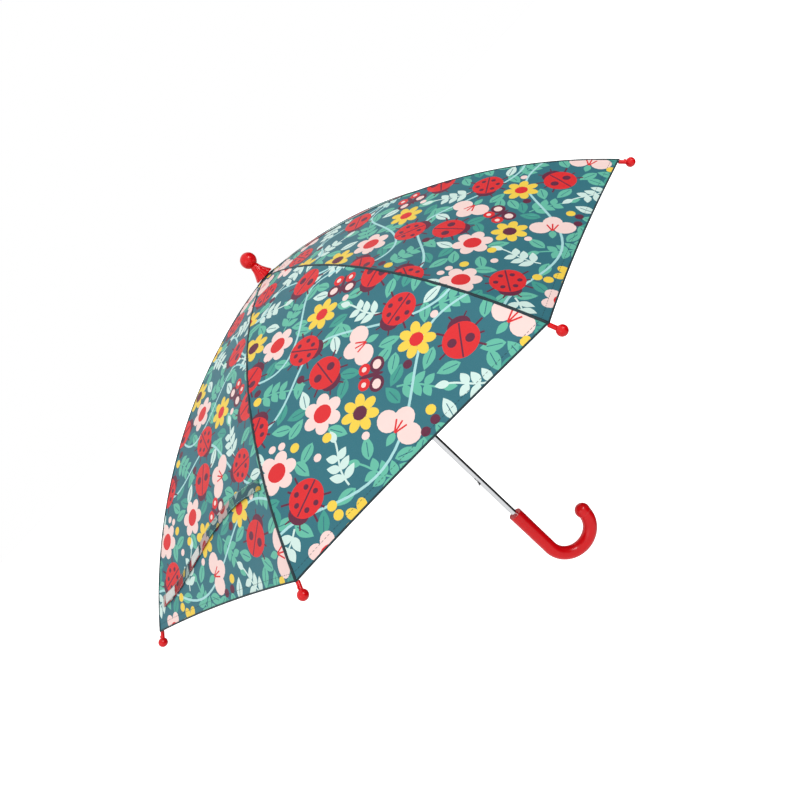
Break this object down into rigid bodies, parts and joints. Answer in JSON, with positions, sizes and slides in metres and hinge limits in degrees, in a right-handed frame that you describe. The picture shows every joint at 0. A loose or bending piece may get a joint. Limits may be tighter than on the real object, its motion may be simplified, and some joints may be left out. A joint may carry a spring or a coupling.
{
  "type": "children's umbrella",
  "caption": "Child's stick umbrella with a printed dome canopy, ball-tipped ribs, sliding runner, bright steel shaft and a J-shaped hook handle.",
  "frame": {"origin": "on the shaft's axis, halfway down the straight part of the grip, where a hand holds it", "axes": "+Z along the shaft towards the ferrule; +X towards the hook's free end; the open canopy faces up"},
  "size_m": [0.6644, 0.6644, 0.5442],
  "materials": {
    "printed_fabric": "woven polyester with a printed pattern",
    "hook_and_loop": "napped tape",
    "red_plastic": "moulded, glossy",
    "runner_plastic": "moulded, satin",
    "notch_plastic": "moulded, matt",
    "chromed_tube": "bright plated",
    "bright_steel": "bright drawn wire",
    "coated_steel": "black coated strip"
  },
  "bodies": {
    "shaft": {"shaft_tube": "chromed_tube", "top_catch_pin": "bright_steel", "low_catch_pin": "bright_steel", "runner_stop_pin": "bright_steel", "handle": "red_plastic", "ferrule": "red_plastic", "crown_rosette": "printed_fabric", "top_notch": "notch_plastic", "top_notch_wire": "bright_steel"},
    "rib_1_body": {"rib_1": "coated_steel", "rib_joint_1": "bright_steel", "rib_tip_1": "red_plastic", "canopy_section_1": "printed_fabric"},
    "stretcher_1_body": {"stretcher_1": "coated_steel"},
    "rib_2_body": {"rib_2": "coated_steel", "rib_joint_2": "bright_steel", "rib_tip_2": "red_plastic", "canopy_section_2": "printed_fabric"},
    "stretcher_2_body": {"stretcher_2": "coated_steel"},
    "rib_3_body": {"rib_3": "coated_steel", "rib_joint_3": "bright_steel", "rib_tip_3": "red_plastic", "canopy_section_3": "printed_fabric"},
    "stretcher_3_body": {"stretcher_3": "coated_steel"},
    "rib_4_body": {"rib_4": "coated_steel", "rib_joint_4": "bright_steel", "rib_tip_4": "red_plastic", "canopy_section_4": "printed_fabric"},
    "stretcher_4_body": {"stretcher_4": "coated_steel"},
    "rib_5_body": {"rib_5": "coated_steel", "rib_joint_5": "bright_steel", "rib_tip_5": "red_plastic", "canopy_section_5": "printed_fabric"},
    "stretcher_5_body": {"stretcher_5": "coated_steel"},
    "rib_6_body": {"rib_6": "coated_steel", "rib_joint_6": "bright_steel", "rib_tip_6": "red_plastic", "canopy_section_6": "printed_fabric", "closure_strap": "printed_fabric", "strap_loop_patch": "hook_and_loop", "strap_hook_patch": "hook_and_loop"},
    "stretcher_6_body": {"stretcher_6": "coated_steel"},
    "rib_7_body": {"rib_7": "coated_steel", "rib_joint_7": "bright_steel", "rib_tip_7": "red_plastic", "canopy_section_7": "printed_fabric"},
    "stretcher_7_body": {"stretcher_7": "coated_steel"},
    "rib_8_body": {"rib_8": "coated_steel", "rib_joint_8": "bright_steel", "rib_tip_8": "red_plastic", "canopy_section_8": "printed_fabric"},
    "stretcher_8_body": {"stretcher_8": "coated_steel"},
    "runner_body": {"runner": "runner_plastic", "runner_wire": "bright_steel"},
    "top_catch_body": {"top_catch_spring": "bright_steel"},
    "bottom_catch_body": {"bottom_catch_spring": "bright_steel"}
  },
  "joints": [
    {"name": "fold", "type": "hinge", "parent": "shaft", "child": "rib_1_body", "pos_m": [0.00658, 0.00239, 0.43622], "axis": [-0.342, 0.9397, 0], "range_deg": [0, 63.4], "deforming": ["canopy_section_1", "canopy_section_2", "canopy_section_3", "canopy_section_4", "canopy_section_5", "canopy_section_6", "canopy_section_7", "canopy_section_8", "closure_strap", "strap_loop_patch", "strap_hook_patch", "top_catch_spring", "bottom_catch_spring"]},
    {"name": "stretcher_1_fold", "type": "hinge", "parent": "rib_1_body", "child": "stretcher_1_body", "pos_m": [0.15787, 0.05746, 0.396], "axis": [-0.342, 0.9397, 0], "range_deg": [-126.8, 0]},
    {"name": "rib_2_fold", "type": "hinge", "parent": "shaft", "child": "rib_2_body", "pos_m": [0.00296, 0.00634, 0.43622], "axis": [-0.9063, 0.4226, 0], "range_deg": [0, 63.4]},
    {"name": "stretcher_2_fold", "type": "hinge", "parent": "rib_2_body", "child": "stretcher_2_body", "pos_m": [0.071, 0.15226, 0.396], "axis": [-0.9063, 0.4226, 0], "range_deg": [-126.8, 0]},
    {"name": "rib_3_fold", "type": "hinge", "parent": "shaft", "child": "rib_3_body", "pos_m": [-0.00239, 0.00658, 0.43622], "axis": [-0.9397, -0.342, 0], "range_deg": [0, 63.4]},
    {"name": "stretcher_3_fold", "type": "hinge", "parent": "rib_3_body", "child": "stretcher_3_body", "pos_m": [-0.05746, 0.15787, 0.396], "axis": [-0.9397, -0.342, 0], "range_deg": [-126.8, 0]},
    {"name": "rib_4_fold", "type": "hinge", "parent": "shaft", "child": "rib_4_body", "pos_m": [-0.00634, 0.00296, 0.43622], "axis": [-0.4226, -0.9063, 0], "range_deg": [0, 63.4]},
    {"name": "stretcher_4_fold", "type": "hinge", "parent": "rib_4_body", "child": "stretcher_4_body", "pos_m": [-0.15226, 0.071, 0.396], "axis": [-0.4226, -0.9063, 0], "range_deg": [-126.8, 0]},
    {"name": "rib_5_fold", "type": "hinge", "parent": "shaft", "child": "rib_5_body", "pos_m": [-0.00658, -0.00239, 0.43622], "axis": [0.342, -0.9397, 0], "range_deg": [0, 63.4]},
    {"name": "stretcher_5_fold", "type": "hinge", "parent": "rib_5_body", "child": "stretcher_5_body", "pos_m": [-0.15787, -0.05746, 0.396], "axis": [0.342, -0.9397, 0], "range_deg": [-126.8, 0]},
    {"name": "rib_6_fold", "type": "hinge", "parent": "shaft", "child": "rib_6_body", "pos_m": [-0.00296, -0.00634, 0.43622], "axis": [0.9063, -0.4226, 0], "range_deg": [0, 63.4]},
    {"name": "stretcher_6_fold", "type": "hinge", "parent": "rib_6_body", "child": "stretcher_6_body", "pos_m": [-0.071, -0.15226, 0.396], "axis": [0.9063, -0.4226, 0], "range_deg": [-126.8, 0]},
    {"name": "rib_7_fold", "type": "hinge", "parent": "shaft", "child": "rib_7_body", "pos_m": [0.00239, -0.00658, 0.43622], "axis": [0.9397, 0.342, 0], "range_deg": [0, 63.4]},
    {"name": "stretcher_7_fold", "type": "hinge", "parent": "rib_7_body", "child": "stretcher_7_body", "pos_m": [0.05746, -0.15787, 0.396], "axis": [0.9397, 0.342, 0], "range_deg": [-126.8, 0]},
    {"name": "rib_8_fold", "type": "hinge", "parent": "shaft", "child": "rib_8_body", "pos_m": [0.00634, -0.00296, 0.43622], "axis": [0.4226, 0.9063, 0], "range_deg": [0, 63.4]},
    {"name": "stretcher_8_fold", "type": "hinge", "parent": "rib_8_body", "child": "stretcher_8_body", "pos_m": [0.15226, -0.071, 0.396], "axis": [0.4226, 0.9063, 0], "range_deg": [-126.8, 0]},
    {"name": "runner_link", "type": "hinge", "parent": "stretcher_1_body", "child": "runner_body", "pos_m": [0.00658, 0.00239, 0.35577], "axis": [-0.342, 0.9397, 0], "range_deg": [0, 63.4]},
    {"name": "top_catch_press", "type": "hinge", "parent": "shaft", "child": "top_catch_body", "pos_m": [-0.00118, -0.00108, 0.27627], "axis": [-0.6756, 0.7373, 0], "range_deg": [0, 4.2], "stiffness_Nm_per_rad": 0.6},
    {"name": "bottom_catch_press", "type": "hinge", "parent": "shaft", "child": "bottom_catch_body", "pos_m": [-0.00118, -0.00108, 0.135], "axis": [0.6756, -0.7373, 0], "range_deg": [0, 4.2], "stiffness_Nm_per_rad": 0.6}
  ],
  "couplings": [
    {"joint": "stretcher_1_fold", "follows": "fold", "ratio": -2},
    {"joint": "rib_2_fold", "follows": "fold", "ratio": 1},
    {"joint": "stretcher_2_fold", "follows": "fold", "ratio": -2},
    {"joint": "rib_3_fold", "follows": "fold", "ratio": 1},
    {"joint": "stretcher_3_fold", "follows": "fold", "ratio": -2},
    {"joint": "rib_4_fold", "follows": "fold", "ratio": 1},
    {"joint": "stretcher_4_fold", "follows": "fold", "ratio": -2},
    {"joint": "rib_5_fold", "follows": "fold", "ratio": 1},
    {"joint": "stretcher_5_fold", "follows": "fold", "ratio": -2},
    {"joint": "rib_6_fold", "follows": "fold", "ratio": 1},
    {"joint": "stretcher_6_fold", "follows": "fold", "ratio": -2},
    {"joint": "rib_7_fold", "follows": "fold", "ratio": 1},
    {"joint": "stretcher_7_fold", "follows": "fold", "ratio": -2},
    {"joint": "rib_8_fold", "follows": "fold", "ratio": 1},
    {"joint": "stretcher_8_fold", "follows": "fold", "ratio": -2},
    {"joint": "runner_link", "follows": "fold", "ratio": 1}
  ]
}
